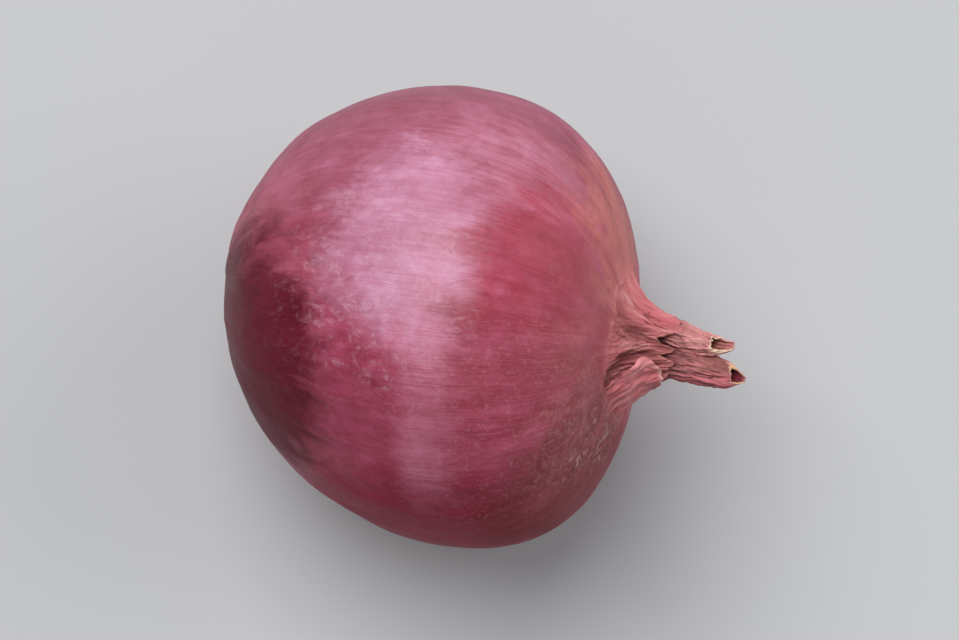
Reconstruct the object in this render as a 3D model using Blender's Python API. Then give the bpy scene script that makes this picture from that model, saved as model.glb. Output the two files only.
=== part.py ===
"""A red onion that lies on its side: the bulb with its withered neck, the dry ends of two leaves that stand
out of the neck, a torn collar of outer skin at the neck's foot, and the matted roots at the other end.

Every piece is shaped in the bulb's own axes, measured from the middle of its widest place: x runs along the
onion towards its neck, y across it, and z up while the neck is level. One empty then tips the neck up and
sets the onion down, with the middle of its flat spot on the world's origin.
"""

import math

import bmesh
import bpy
from mathutils import Matrix, Vector, geometry

# Sizes, in metres.
BULB_DIAMETER = 0.0715
NECK_SIDE_LENGTH = 0.0267  # widest place of the bulb to where it would close without a neck
ROOT_SIDE_LENGTH = 0.0385  # widest place of the bulb to where it would close without a dimple
REST_SPOT_RADIUS = 0.008
ROOT_DIMPLE_RADIUS = 0.0065
ROOT_DIMPLE_DEPTH = 0.0018
NECK_FOOT_RADIUS = 0.0125  # where the skin starts to rise towards the neck
NECK_LENGTH = 0.0092  # past NECK_SIDE_LENGTH
NECK_THICKNESS = 0.0064  # at its end, from top to bottom
NECK_SWAY = -0.0004  # how far the neck's end leans across the onion
UPPER_LEAF_LENGTH = 0.007
UPPER_LEAF_WIDTH = 0.0035
LOWER_LEAF_LENGTH = 0.0087
LOWER_LEAF_WIDTH = 0.0042
FLAP_START = 0.003  # along the skin, from the neck's foot
FLAP_LENGTH = 0.0095
FLAP_WIDTH = 0.0085  # at the neck's foot
FLAP_THICKNESS = 0.0006
FLAP_LIFT = 0.0012  # how far its free end stands off the neck
TUFT_RADIUS = 0.005
TUFT_LENGTH = 0.0026
TUFT_DROOP = 0.002
GAP = 0.0003  # between pieces that touch

NECK_RISE = math.radians(22)
FLAP_TURN = math.radians(131)  # round the onion, from the y axis towards the z axis

# The bulb's outline: how much its reach differs from that of a plain ellipsoid, as a share of it.
SHOULDER_FULLNESS = 0.029
SIDE_LEAN = -0.086
BELLY_LEAN = 0.045  # puts the lowest point under the onion's weight
LOBES = 3
LOBE_HEIGHT = 0.008

# The neck's outline.
NECK_FOOT_HANDLE = 0.24  # of the foot's radius: how far the bulb's own curve is kept
NECK_END_HANDLE = 0.9  # of the neck's length: how far it runs straight
NECK_FLARE = 0.2  # widening per length, back from its end
NECK_WRINKLES = 9
NECK_WRINKLE_DEPTH = 0.06  # of the neck's radius

# The leaf ends: four path points in leaf lengths, then widths in leaf widths and thicknesses in neck
# thicknesses, each at the base, the middle and the tip.
UPPER_LEAF_PATH = ((0, 0, 0), (0.4, 0, 0), (0.7, -0.05, 0.02), (1, 0.02, 0.2))
UPPER_LEAF_WIDTHS = (1, 0.65, 0.4)
UPPER_LEAF_THICKNESSES = (0.75, 0.3, 0.2)
LOWER_LEAF_PATH = ((0, 0, 0), (0.35, 0, 0), (0.7, -0.06, -0.05), (1, -0.04, -0.12))
LOWER_LEAF_WIDTHS = (1, 1.25, 0.4)
LOWER_LEAF_THICKNESSES = (0.8, 0.45, 0.25)

FLAP_TAPER = 0.35  # how much narrower the free end is than the neck under it would make it
TUFT_PROFILE = ((0.45, 1.02), (0.8, 0.94), (1, 0.7))  # shares of its length, and of its radius there
TUFT_STRANDS = 15
TUFT_STRAND_DEPTH = 0.12  # of the tuft's radius

# Facets.
SEGMENTS = 63  # a whole number to each neck wrinkle
BULB_RINGS = 26
NECK_RINGS = 12
LEAF_SEGMENTS = 14
LEAF_RINGS = 12
FLAP_COLUMNS = 12
FLAP_ROWS = 10
TUFT_SEGMENTS = 45  # a whole number to each strand
TUFT_PLATE_RINGS = 4
SHARP_ANGLE = math.radians(40)

# Linear colour and roughness.
MATERIALS = {
    "skin": ((0.36, 0.06, 0.11, 1), 0.35),
    "upper_leaf": ((0.50, 0.13, 0.16, 1), 0.7),
    "lower_leaf": ((0.33, 0.07, 0.09, 1), 0.7),
    "torn_skin": ((0.56, 0.15, 0.19, 1), 0.75),
    "roots": ((0.52, 0.36, 0.18, 1), 0.85),
}


def clear_scene():
    for existing in list(bpy.data.objects):
        bpy.data.objects.remove(existing)


def make_material(name):
    colour, roughness = MATERIALS[name]
    material = bpy.data.materials.new(name)
    material.use_nodes = True
    shader = material.node_tree.nodes["Principled BSDF"]
    shader.inputs["Base Color"].default_value = colour
    shader.inputs["Roughness"].default_value = roughness
    shader.inputs["Metallic"].default_value = 0
    return material


def object_from_rings(name, rings, first_pole, last_pole, material):
    """A closed object through a stack of rings, each a list of as many points, closed at two poles."""
    shape = bmesh.new()
    loops = [[shape.verts.new(point) for point in ring] for ring in rings]
    for near, far in zip(loops, loops[1:]):
        for i in range(len(near)):
            shape.faces.new((near[i - 1], near[i], far[i], far[i - 1]))
    for loop, pole in ((loops[0], first_pole), (loops[-1], last_pole)):
        tip = shape.verts.new(pole)
        for i in range(len(loop)):
            shape.faces.new((loop[i - 1], loop[i], tip))
    bmesh.ops.recalc_face_normals(shape, faces=shape.faces)
    mesh = bpy.data.meshes.new(name)
    shape.to_mesh(mesh)
    shape.free()
    mesh.shade_smooth()
    mesh.set_sharp_from_angle(angle=SHARP_ANGLE)
    mesh.materials.append(make_material(material))
    made = bpy.data.objects.new(name, mesh)
    bpy.context.scene.collection.objects.link(made)
    return made


def middle_of(points):
    return sum(points, Vector()) / len(points)


def mix(start, end, share):
    return start + (end - start) * share


def outward(turn):
    """The unit vector straight out from the onion's long axis, at an angle round it."""
    return Vector((0, math.cos(turn), math.sin(turn)))


def skin_reach(along, side, up):
    """How far the bulb's skin lies from its middle, in the direction of a unit vector."""
    across = math.hypot(side, up)
    length = mix(ROOT_SIDE_LENGTH, NECK_SIDE_LENGTH, (1 + along) / 2)
    reach = 1 / math.hypot(along / length, across / (BULB_DIAMETER / 2))
    shoulders = SHOULDER_FULLNESS * (2 * along * across) ** 2
    lean = SIDE_LEAN * along * side + BELLY_LEAN * along * up
    lobes = LOBE_HEIGHT * across**3 * math.cos(LOBES * math.atan2(up, side))
    reach *= 1 + shoulders + lean + lobes
    if along < 0:
        reach -= ROOT_DIMPLE_DEPTH * math.exp(-((across * reach / ROOT_DIMPLE_RADIUS) ** 2))
    return reach


def bulb_point(polar, turn):
    """A point of the bulb's skin, by its angles from the neck's direction and round the onion."""
    direction = Vector((math.cos(polar), 0, 0)) + outward(turn) * math.sin(polar)
    return direction * skin_reach(*direction)


def neck_foot_polar():
    return math.asin(NECK_FOOT_RADIUS / NECK_SIDE_LENGTH)


def neck_end():
    """The middle of the neck's end."""
    return Vector((NECK_SIDE_LENGTH + NECK_LENGTH, NECK_SWAY, 0))


def neck_width():
    """The neck's end is as wide as the two leaf ends that stand in it."""
    return UPPER_LEAF_WIDTH + LOWER_LEAF_WIDTH + GAP


def neck_curve(turn, count):
    """Points up the neck's skin, from the bulb's own curve at the neck's foot to the neck's end."""
    foot = bulb_point(neck_foot_polar(), turn)
    before_foot = bulb_point(neck_foot_polar() + math.radians(1), turn)
    foot_heading = (foot - before_foot).normalized()
    rim = outward(turn) * Vector((0, neck_width() / 2, NECK_THICKNESS / 2))
    end = neck_end() + rim
    end_heading = Vector((1, 0, 0)) - rim.normalized() * NECK_FLARE
    foot_handle = foot + foot_heading * NECK_FOOT_RADIUS * NECK_FOOT_HANDLE
    end_handle = end - end_heading * NECK_LENGTH * NECK_END_HANDLE
    points = geometry.interpolate_bezier(foot, foot_handle, end_handle, end, count)
    for i, point in enumerate(points):
        share = i / (count - 1)
        middle = Vector((point.x, NECK_SWAY * share, 0))
        wrinkle = 1 + NECK_WRINKLE_DEPTH * share * math.cos(NECK_WRINKLES * turn)
        points[i] = middle + (point - middle) * wrinkle
    return points


def meridian(turn):
    """Points along the skin from beside the root pole to the neck's end."""
    foot = neck_foot_polar()
    bulb = [bulb_point(mix(math.pi, foot, i / BULB_RINGS), turn) for i in range(1, BULB_RINGS)]
    return bulb + neck_curve(turn, NECK_RINGS)


def make_bulb():
    meridians = [meridian(math.tau * i / SEGMENTS) for i in range(SEGMENTS)]
    return object_from_rings("bulb", list(zip(*meridians)), bulb_point(math.pi, 0), neck_end(), "skin")


def cut_rest_spot(bulb, down):
    """Flattens the bulb where it lies on the floor. Returns the middle of the flat spot."""
    shape = bmesh.new()
    shape.from_mesh(bulb.data)
    bulb_radius = BULB_DIAMETER / 2
    depth = bulb_radius - math.sqrt(bulb_radius**2 - REST_SPOT_RADIUS**2)
    lowest = max(vertex.co.dot(down) for vertex in shape.verts)
    everything = shape.verts[:] + shape.edges[:] + shape.faces[:]
    cut = bmesh.ops.bisect_plane(
        shape, geom=everything, plane_co=down * (lowest - depth), plane_no=down, clear_outer=True
    )
    rim = [part for part in cut["geom_cut"] if isinstance(part, bmesh.types.BMEdge)]
    spot = bmesh.ops.contextual_create(shape, geom=rim)["faces"][0]
    if spot.normal.dot(down) < 0:
        spot.normal_flip()
    middle = spot.calc_center_median_weighted()
    shape.to_mesh(bulb.data)
    shape.free()
    bulb.data.set_sharp_from_angle(angle=SHARP_ANGLE)
    return middle


def through_three(values, share):
    """A smooth run from the first of three values past the second to the third."""
    first, second, third = values
    return mix(mix(first, second, share), mix(second, third, share), share)


def make_leaf(name, base, length, path, widths, thicknesses, material):
    """A dry leaf end: a flat rod along a Bezier path, with a width and a thickness at its base, its middle
    and its tip."""
    points = geometry.interpolate_bezier(*[base + Vector(step) * length for step in path], LEAF_RINGS)
    headings = [Vector((1, 0, 0))] + [(far - near).normalized() for near, far in zip(points, points[1:])]
    turns = [math.tau * i / LEAF_SEGMENTS for i in range(LEAF_SEGMENTS)]
    rings = []
    for i, (point, heading) in enumerate(zip(points, headings)):
        share = i / (LEAF_RINGS - 1)
        sideways = Vector((0, 0, 1)).cross(heading).normalized() * through_three(widths, share) / 2
        upwards = heading.cross(sideways).normalized() * through_three(thicknesses, share) / 2
        rings.append([point + sideways * math.cos(turn) + upwards * math.sin(turn) for turn in turns])
    tip = points[-1] + headings[-1] * thicknesses[-1] / 2
    return object_from_rings(name, rings, points[0], tip, material)


def make_upper_leaf():
    base = neck_end() + Vector((GAP, (neck_width() - UPPER_LEAF_WIDTH) / 2, 0))
    widths = [UPPER_LEAF_WIDTH * share for share in UPPER_LEAF_WIDTHS]
    thicknesses = [NECK_THICKNESS * share for share in UPPER_LEAF_THICKNESSES]
    return make_leaf(
        "neck_leaf_upper", base, UPPER_LEAF_LENGTH, UPPER_LEAF_PATH, widths, thicknesses, "upper_leaf"
    )


def make_lower_leaf():
    base = neck_end() + Vector((GAP, (LOWER_LEAF_WIDTH - neck_width()) / 2, 0))
    widths = [LOWER_LEAF_WIDTH * share for share in LOWER_LEAF_WIDTHS]
    thicknesses = [NECK_THICKNESS * share for share in LOWER_LEAF_THICKNESSES]
    return make_leaf(
        "neck_leaf_lower", base, LOWER_LEAF_LENGTH, LOWER_LEAF_PATH, widths, thicknesses, "lower_leaf"
    )


def place_along(points, distance):
    """The place at a distance along a line of points, and the line's heading there."""
    for near, far in zip(points, points[1:]):
        step = (far - near).length
        if distance <= step:
            break
        distance -= step
    return near.lerp(far, distance / step), (far - near).normalized()


def flap_point(turn, distance, height):
    """A point over the neck's skin, at a distance up the skin from the neck's foot."""
    point, heading = place_along(neck_curve(turn, 4 * NECK_RINGS), distance)
    round_neck = Vector((0, -math.sin(turn), math.cos(turn)))
    return point + round_neck.cross(heading).normalized() * height


def make_flap():
    """The torn collar: a tongue of skin over the neck's foot whose free end stands off the neck."""
    half_angle = FLAP_WIDTH / 2 / NECK_FOOT_RADIUS
    rings = []
    for row in range(FLAP_ROWS):
        share = row / (FLAP_ROWS - 1)
        distance = FLAP_START + FLAP_LENGTH * share
        under = GAP + FLAP_LIFT * share**2
        reach = half_angle * (1 - FLAP_TAPER * share**3)
        turns = [FLAP_TURN + reach * mix(-1, 1, i / (FLAP_COLUMNS - 1)) for i in range(FLAP_COLUMNS)]
        outer = [flap_point(turn, distance, under + FLAP_THICKNESS) for turn in turns]
        inner = [flap_point(turn, distance, under) for turn in reversed(turns)]
        rings.append(outer + inner)
    return object_from_rings("skin_flap", rings, middle_of(rings[0]), middle_of(rings[-1]), "torn_skin")


def make_root_tuft():
    """The matted roots: a ribbed, drooping bundle whose base follows the dimple in the bulb's root end."""
    turns = [math.tau * i / TUFT_SEGMENTS for i in range(TUFT_SEGMENTS)]
    clear = Vector((-GAP, 0, 0))
    base = bulb_point(math.pi, 0) + clear
    rim_angle = math.asin(TUFT_RADIUS / ROOT_SIDE_LENGTH)
    rings = []
    for i in range(1, TUFT_PLATE_RINGS + 1):
        polar = math.pi - rim_angle * i / TUFT_PLATE_RINGS
        rings.append([bulb_point(polar, turn) + clear for turn in turns])
    for length_share, radius_share in TUFT_PROFILE:
        middle = base + Vector((-TUFT_LENGTH * length_share, 0, -TUFT_DROOP * length_share**2))
        ribs = [1 + TUFT_STRAND_DEPTH * math.cos(TUFT_STRANDS * turn) for turn in turns]
        radius = TUFT_RADIUS * radius_share
        rings.append([middle + outward(turn) * radius * rib for turn, rib in zip(turns, ribs)])
    return object_from_rings("root_tuft", rings, base, middle_of(rings[-1]), "roots")


def main():
    clear_scene()
    bulb = make_bulb()
    tilt = Matrix.Rotation(-NECK_RISE, 3, "Y")
    spot = cut_rest_spot(bulb, tilt.transposed() @ Vector((0, 0, -1)))
    onion = bpy.data.objects.new("onion", None)
    bpy.context.scene.collection.objects.link(onion)
    onion.rotation_euler = tilt.to_euler()
    onion.location = -(tilt @ spot)
    for piece in (bulb, make_upper_leaf(), make_lower_leaf(), make_flap(), make_root_tuft()):
        piece.parent = onion


main()
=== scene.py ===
"""Looks of a red onion that lies on its side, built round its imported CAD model.

Every piece is shaped in the bulb's own axes, measured from the middle of its widest place: x runs along
the onion towards its neck, y across it, and z up while the neck is level. A place on the bulb has a polar
angle, from the neck's direction, and a turn, round the onion. A place on the neck has a turn and a share
of the way up it. The shapes repeat the CAD model's own formulas, finer, and add the folds, tears and
fibres of dry skin. Points are kept in grids of rows along the onion and columns round it.
"""

import math
import random

import bpy
import numpy as np
from mathutils import Matrix, Vector, noise


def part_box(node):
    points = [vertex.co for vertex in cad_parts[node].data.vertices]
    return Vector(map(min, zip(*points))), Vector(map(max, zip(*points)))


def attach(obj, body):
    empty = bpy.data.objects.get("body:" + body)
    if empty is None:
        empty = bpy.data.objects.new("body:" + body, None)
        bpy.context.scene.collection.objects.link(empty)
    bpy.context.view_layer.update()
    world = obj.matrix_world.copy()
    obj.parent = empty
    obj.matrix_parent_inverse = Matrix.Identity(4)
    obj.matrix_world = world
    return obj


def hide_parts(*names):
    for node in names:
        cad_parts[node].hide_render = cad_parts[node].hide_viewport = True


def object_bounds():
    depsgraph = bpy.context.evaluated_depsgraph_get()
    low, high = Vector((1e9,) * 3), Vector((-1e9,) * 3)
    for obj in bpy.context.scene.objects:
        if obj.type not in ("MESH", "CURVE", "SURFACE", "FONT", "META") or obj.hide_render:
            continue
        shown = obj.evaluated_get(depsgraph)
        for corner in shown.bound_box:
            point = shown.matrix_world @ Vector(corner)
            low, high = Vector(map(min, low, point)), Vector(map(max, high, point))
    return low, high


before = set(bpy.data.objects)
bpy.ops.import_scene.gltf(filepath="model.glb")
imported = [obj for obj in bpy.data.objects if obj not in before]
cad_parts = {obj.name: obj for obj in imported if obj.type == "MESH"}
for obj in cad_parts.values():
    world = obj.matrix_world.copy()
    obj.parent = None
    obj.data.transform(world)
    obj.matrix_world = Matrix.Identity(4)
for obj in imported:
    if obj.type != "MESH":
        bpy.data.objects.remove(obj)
cad_low, cad_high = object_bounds()

# Sizes of the CAD model, in metres and radians.
BULB_DIAMETER = 0.0715
BULB_RADIUS = BULB_DIAMETER / 2
NECK_SIDE_LENGTH = 0.0267
ROOT_SIDE_LENGTH = 0.0385
ROOT_DIMPLE_RADIUS = 0.0065
ROOT_DIMPLE_DEPTH = 0.0018
NECK_FOOT_RADIUS = 0.0125
NECK_LENGTH = 0.0092
NECK_THICKNESS = 0.0064
NECK_SWAY = -0.0004
UPPER_LEAF_LENGTH = 0.007
UPPER_LEAF_WIDTH = 0.0035
LOWER_LEAF_LENGTH = 0.0087
LOWER_LEAF_WIDTH = 0.0042
GAP = 0.0003
NECK_RISE = math.radians(22)
SHOULDER_FULLNESS = 0.029
SIDE_LEAN = -0.086
BELLY_LEAN = 0.045
LOBES = 3
LOBE_HEIGHT = 0.008
NECK_FOOT_HANDLE = 0.24
NECK_END_HANDLE = 0.9
NECK_FLARE = 0.2

# The torn tongue of skin: where it lies round the neck, and half the angle it spans.
FLAP_FOOT_TURN = math.radians(150)
FLAP_END_TURN = math.radians(139)
FLAP_FOOT_SPREAD = math.radians(17)
FLAP_END_SPREAD = math.radians(34)
FLAP_WALL = 0.0002

# How far the tongue stands off the neck at its foot and beyond, with its crown, curled side, drooping tip,
# waves and ripples.
FLAP_FOOT_LIFT = -0.0003
FLAP_LIFT = 0.0013
FLAP_CROWN = 0.0010
FLAP_CURL = 0.0007
FLAP_DROOP = 0.0004
FLAP_WAVE = 0.0005
FLAP_RIPPLE = 0.0005

# Torn edges, as shares of the way up the neck: the outermost skin's rim, the step down from it, and the
# sheath's end.
RIM_SHARE = 0.24
RIM_STEP = 0.012
SHEATH_SHARE = 0.93

# The grooves between the two leaves, on both sides of the sheath, and the stain beside the near one.
GROOVE_FOOT_TURN = math.radians(62)
GROOVE_END_TURN = math.radians(93)
FAR_GROOVE_TURN = math.radians(-95)
STAIN_OFFSET = math.radians(14)

# Relief of the skin, and how deep its sheath is open, in metres.
COARSE_FOLD = 0.00085
MIDDLING_FOLD = 0.00062
FINE_FOLD = 0.00024
FOLD_LENGTH = 0.006
GROOVE_DEPTH = 0.0011
HOLLOW_DEPTH = 0.0006
RIM_THICKNESS = 0.00016
LIP_HEIGHT = 0.0001
LUMP_HEIGHT = 0.00035
RIB_HEIGHT = 0.0002
RIB_LENGTH = 0.05
SHEATH_DEPTH = 0.004

# The walls of the dry leaf ends, the least half width and half thickness of their hollows, and how far they
# reach back into the sheath.
LEAF_WALL = 0.00022
LEAST_HALF_WIDTH = 0.00006
LEAST_HALF_THICKNESS = 0.00004
LEAF_ROOT_DEPTH = 0.0055

# How long the leaf ends' folds are, and how far wear reaches back from their rims, in general and where
# they are palest.
COARSE_LEAF_FOLD = 0.009
MIDDLING_LEAF_FOLD = 0.005
FINE_LEAF_FOLD = 0.003
RIM_WEAR = 0.0002
PALE_RIM_WEAR = 0.0013

# The root plate, as radii and heights from its middle to its edge and down behind it, and its roots.
PLATE_RADIUS = 0.006
PLATE_PROFILE = (
    (0.0004, 0.0011), (0.0012, 0.00115), (0.002, 0.0012), (0.0028, 0.0011), (0.0036, 0.0012),
    (0.0043, 0.00105), (0.005, 0.0009), (0.0056, 0.0006), (0.006, 0.0002), (0.0061, -0.0006),
    (0.0058, -0.0014),
)
ROOT_COUNT = 86
ROOT_RING_RADIUS = 0.0052
ROOT_DEPTH = 0.0007

# Grids.
TURNS = 480
BODY_ROWS = 90
COLLAR_ROWS = 22
NECK_ROWS = 84
INNER_ROWS = 7
INNER_ROW_SPACING = 0.0006
LEAF_TURNS = 120
LEAF_ROWS = 90
LEAF_INNER_ROWS = 26
FLAP_ROWS = 60
FLAP_COLUMNS = 72
PLATE_TURNS = 96
ROOT_SIDES = 7
ROOT_STEPS = 12

# The stage, in metres and millimetres of lens. The camera's place is measured from the bulb's middle.
FLOOR_REACH = 6.0
CAMERA_OFFSET = Vector((-0.0497, -0.0557, 0.5787))
CAMERA_LENS = 140
CAMERA_SENSOR = 36
CAMERA_ROLL = math.radians(9.5)

X_AXIS = np.array([1.0, 0.0, 0.0])
TILT = np.array(Matrix.Rotation(-NECK_RISE, 3, "Y"))


def mix(start, end, share):
    return start + (end - start) * share


def smooth(low, high, value):
    """0 below low, 1 above high, and a smooth step between them."""
    share = np.clip((value - low) / (high - low), 0, 1)
    return share * share * (3 - 2 * share)


def bell(distance, width):
    """1 where the distance is 0, and next to 0 from twice the width on."""
    return np.exp(-((distance / width) ** 2))


def ring(count):
    """Even angles all the way round."""
    return np.arange(count) * math.tau / count


def noise_field(x, y, z, octaves=2):
    """Smooth noise at many places, within about -0.7 to 0.7."""
    places = np.stack(np.broadcast_arrays(x, y, z), -1)
    values = [noise.fractal(place, 1, 2, octaves) for place in places.reshape(-1, 3).tolist()]
    return np.array(values).reshape(places.shape[:-1])


def ring_noise(turn, fineness, along, octaves=2):
    """Smooth noise that closes on itself round a ring. Another place along it gives another pattern."""
    return noise_field(np.cos(turn) * fineness, np.sin(turn) * fineness, along, octaves)


def outward(turn):
    """Unit vectors straight out from the onion's long axis, at angles round it."""
    return np.stack([np.zeros_like(turn), np.cos(turn), np.sin(turn)], -1)


def lengths(vectors):
    return np.linalg.norm(vectors, axis=-1, keepdims=True)


def unit(vectors):
    return vectors / lengths(vectors)


def angle_between(turn, other):
    """From -pi to pi."""
    return (turn - other + math.pi) % math.tau - math.pi


# -------- the smooth bulb and neck


def skin_reach(along, side, up):
    """How far the bulb's skin lies from its middle, in the direction of unit vectors."""
    across = np.hypot(side, up)
    length = mix(ROOT_SIDE_LENGTH, NECK_SIDE_LENGTH, (1 + along) / 2)
    reach = 1 / np.hypot(along / length, across / BULB_RADIUS)
    shoulders = SHOULDER_FULLNESS * (2 * along * across) ** 2
    lean = SIDE_LEAN * along * side + BELLY_LEAN * along * up
    lobes = LOBE_HEIGHT * across**3 * np.cos(LOBES * np.arctan2(up, side))
    reach = reach * (1 + shoulders + lean + lobes)
    dimple = ROOT_DIMPLE_DEPTH * bell(across * reach, ROOT_DIMPLE_RADIUS)
    return reach - np.where(along < 0, dimple, 0)


def bulb_point(polar, turn):
    """Points of the bulb's skin, by their angles from the neck's direction and round the onion."""
    polar, turn = np.broadcast_arrays(polar, turn)
    direction = X_AXIS * np.cos(polar)[..., None] + outward(turn) * np.sin(polar)[..., None]
    return direction * skin_reach(*np.moveaxis(direction, -1, 0))[..., None]


ROOT_POLE = bulb_point(math.pi, 0.0)
NECK_FOOT_POLAR = math.asin(NECK_FOOT_RADIUS / NECK_SIDE_LENGTH)
NECK_END = np.array([NECK_SIDE_LENGTH + NECK_LENGTH, NECK_SWAY, 0])
NECK_WIDTH = UPPER_LEAF_WIDTH + LOWER_LEAF_WIDTH + GAP


def curve_point(points, share):
    """Points at shares of the way along a Bezier curve, or along one for each column of a grid."""
    first, second, third, last = points
    left = 1 - share
    return first * left**3 + second * 3 * left**2 * share + third * 3 * left * share**2 + last * share**3


def neck_point(turn, share):
    """Points of the neck's skin, at shares of the way from its foot (0) to its end (1)."""
    turn, share = np.broadcast_arrays(turn, share)
    foot = bulb_point(NECK_FOOT_POLAR, turn)
    foot_heading = unit(foot - bulb_point(NECK_FOOT_POLAR + math.radians(1), turn))
    rim = outward(turn) * np.array([0, NECK_WIDTH / 2, NECK_THICKNESS / 2])
    end = NECK_END + rim
    end_heading = X_AXIS - unit(rim) * NECK_FLARE
    foot_handle = foot + foot_heading * NECK_FOOT_RADIUS * NECK_FOOT_HANDLE
    end_handle = end - end_heading * NECK_LENGTH * NECK_END_HANDLE
    return curve_point((foot, foot_handle, end_handle, end), share[..., None])


def smooth_rows(turn, neck_share):
    """Rows of the smooth bulb, from beside its root pole, and then of the smooth neck."""
    polar = np.linspace(math.pi, NECK_FOOT_POLAR, BODY_ROWS + 1)[1:-1, None]
    return np.concatenate([bulb_point(polar, turn[None]), neck_point(turn[None], neck_share)])


def grid_normals(grid):
    """Outward normals of a grid whose rows run along the onion and whose columns close round it."""
    along = np.gradient(grid, axis=0)
    across = np.roll(grid, -1, axis=1) - np.roll(grid, 1, axis=1)
    return unit(np.cross(across, along) + 1e-15)


# -------- folds, tears and lumps


def folds(turn, along, fineness, seed):
    """Papery folds along a stalk: their height, and how near each point is to the bottom of a crease."""
    swing = turn + 0.3 * ring_noise(turn, 1, along * 0.8 + seed, 1)
    value = ring_noise(swing, fineness, along + seed)
    mean_height = 0.45
    crease_width = 0.06
    return np.sqrt(np.abs(value)) - mean_height, bell(value, crease_width)


def torn_edges(turn):
    """Where the outermost skin's rim and the sheath's end lie, as shares of the way up the neck."""
    rim = RIM_SHARE + 0.16 * ring_noise(turn, 1.6, 3.0, 3)
    rim = rim + 0.03 * ring_noise(turn, 7, 8.0)
    end = SHEATH_SHARE + 0.13 * ring_noise(turn, 2.2, 14.0, 3)
    end = end + 0.02 * ring_noise(turn, 9, 21.0)
    return rim, end


def neck_folds(turn, past_foot, up_neck, gather):
    """Three sizes of folds, which gather at the neck's foot: their height, and their creases."""
    stretch = past_foot / FOLD_LENGTH
    coarse, coarse_crease = folds(turn, stretch * 0.35, fineness=2.4, seed=5.0)
    middling, middling_crease = folds(turn, stretch * 0.7, fineness=5.5, seed=11.0)
    fine, fine_crease = folds(turn, stretch * 1.3, fineness=12.0, seed=17.0)
    strength = gather * (0.15 + 0.85 * smooth(0, 0.7, up_neck))
    height = COARSE_FOLD * coarse * strength * smooth(0.1, 0.9, up_neck)
    height = height + MIDDLING_FOLD * middling * strength
    height = height + FINE_FOLD * fine * gather * (0.25 + 0.75 * smooth(0, 0.4, up_neck))
    crease = np.maximum(coarse_crease * 0.9, np.maximum(middling_crease * 0.8, fine_crease * 0.6))
    return height, crease * strength


def leaf_grooves(turn, up_neck):
    """The grooves between the two leaves, and the turn of the one on the near side."""
    split = mix(GROOVE_FOOT_TURN, GROOVE_END_TURN, smooth(0.25, 1, up_neck))
    groove = bell(angle_between(turn, split), 0.16)
    groove = groove + bell(angle_between(turn, FAR_GROOVE_TURN), 0.2)
    return groove * smooth(0.2, 1, up_neck), split


def flap_hollow(turn, up_neck):
    """The hollow that runs along the torn tongue's upper edge."""
    foot_edge = FLAP_FOOT_TURN - FLAP_FOOT_SPREAD
    end_edge = FLAP_END_TURN - FLAP_END_SPREAD
    edge = mix(foot_edge, end_edge, smooth(0, 1, up_neck))
    hollow = bell(angle_between(turn, edge - math.radians(3)), 0.13)
    return hollow * smooth(0.02, 0.2, up_neck) * (1 - smooth(0.75, 0.95, up_neck))


def outermost_skin(turn, share, rim, past_foot, gather):
    """Height of the outermost skin, which ends in a torn rim with a raised lip on the neck."""
    covered = np.where(share < rim + RIM_STEP / 2, 1.0, 0.0)
    lip = bell(share - rim, 0.03) * covered * gather
    thick = 0.6 + 0.7 * ring_noise(turn, 2, 31.0)
    return (RIM_THICKNESS * covered * smooth(-0.004, 0.001, past_foot) + LIP_HEIGHT * lip) * thick


def body_lumps(grid, turn, arc, past_foot):
    """Height of the bulb's soft lumps and ribs, which stop at the neck's foot."""
    lumps = noise_field(*np.moveaxis(unit(grid) * 1.9, -1, 0), 3)
    ribs = ring_noise(turn, 4.5, arc / RIB_LENGTH)
    return (LUMP_HEIGHT * lumps + RIB_HEIGHT * ribs) * (1 - smooth(-0.004, 0.004, past_foot))


def sheath_inside(end_row):
    """Rows that run back down inside the sheath from its torn end."""
    inward = mix(end_row, NECK_END, 0.08)
    rows = [inward - X_AXIS * 0.0001]
    for i in range(1, INNER_ROWS):
        rows.append(mix(inward, NECK_END, 0.1 * i / INNER_ROWS) - X_AXIS * SHEATH_DEPTH * i / INNER_ROWS)
    return np.array(rows)


def round_onion(turn):
    """Unit vectors round the onion, in the row frame."""
    around = np.stack([np.zeros_like(turn), -np.sin(turn), np.cos(turn)], -1)
    return around @ TILT.T


def fibre_places(turn, along):
    """Places for patterns that run along a piece: a point on a circle, and how far along it is."""
    return np.stack([np.cos(turn), np.sin(turn), along], -1)


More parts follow.
